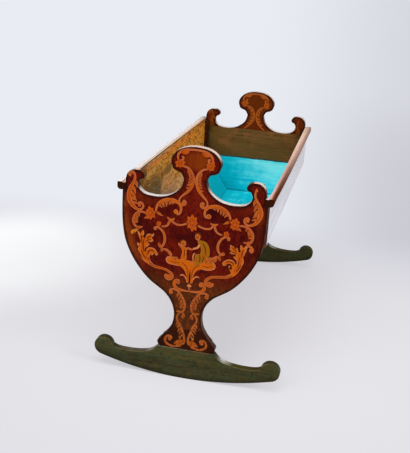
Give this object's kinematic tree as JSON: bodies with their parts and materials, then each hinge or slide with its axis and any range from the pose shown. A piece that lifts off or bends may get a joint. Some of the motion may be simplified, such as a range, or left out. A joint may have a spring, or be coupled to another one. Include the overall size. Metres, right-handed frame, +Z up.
{
  "type": "rocking cradle",
  "caption": "Wooden rocking cradle: a trough-shaped tub between shield-shaped inlaid end boards, each on a waisted pedestal and a curved rocker.",
  "frame": {"origin": "on the floor, midway between the two rockers", "axes": "+X across the cradle, +Y along it from the front end to the back end, +Z up"},
  "size_m": [0.567, 1.046, 0.708],
  "materials": {
    "veneer": "dark red polished veneer, inlaid with lighter wood",
    "board_wood": "plain polished wood, olive brown",
    "panel_wood": "figured golden brown wood, glossy polish",
    "rail_wood": "red-brown wood, glossy polish",
    "batten_wood": "dark stained wood",
    "peg_wood": "plain light wood",
    "tub_paint": "turquoise paint over wood",
    "rocker_paint": "olive green paint over wood, worn",
    "iron": "dark iron"
  },
  "bodies": {
    "root": {"front_board": "board_wood", "back_board": "board_wood", "front_veneer": "veneer", "back_veneer": "veneer", "front_inner_veneer": "veneer", "back_inner_veneer": "veneer", "front_rocker": "rocker_paint", "back_rocker": "rocker_paint", "front_rocker_pegs": "peg_wood", "back_rocker_pegs": "peg_wood", "left_side_panel": "panel_wood", "right_side_panel": "panel_wood", "left_sloping_side": "tub_paint", "right_sloping_side": "tub_paint", "bottom_board": "tub_paint", "left_top_rail": "rail_wood", "right_top_rail": "rail_wood", "front_left_batten": "batten_wood", "front_right_batten": "batten_wood", "back_left_batten": "batten_wood", "back_right_batten": "batten_wood", "batten_nails": "iron", "front_cleat": "batten_wood", "back_cleat": "batten_wood", "cleat_screws": "iron", "front_dowels": "peg_wood", "back_dowels": "peg_wood"}
  },
  "joints": []
}
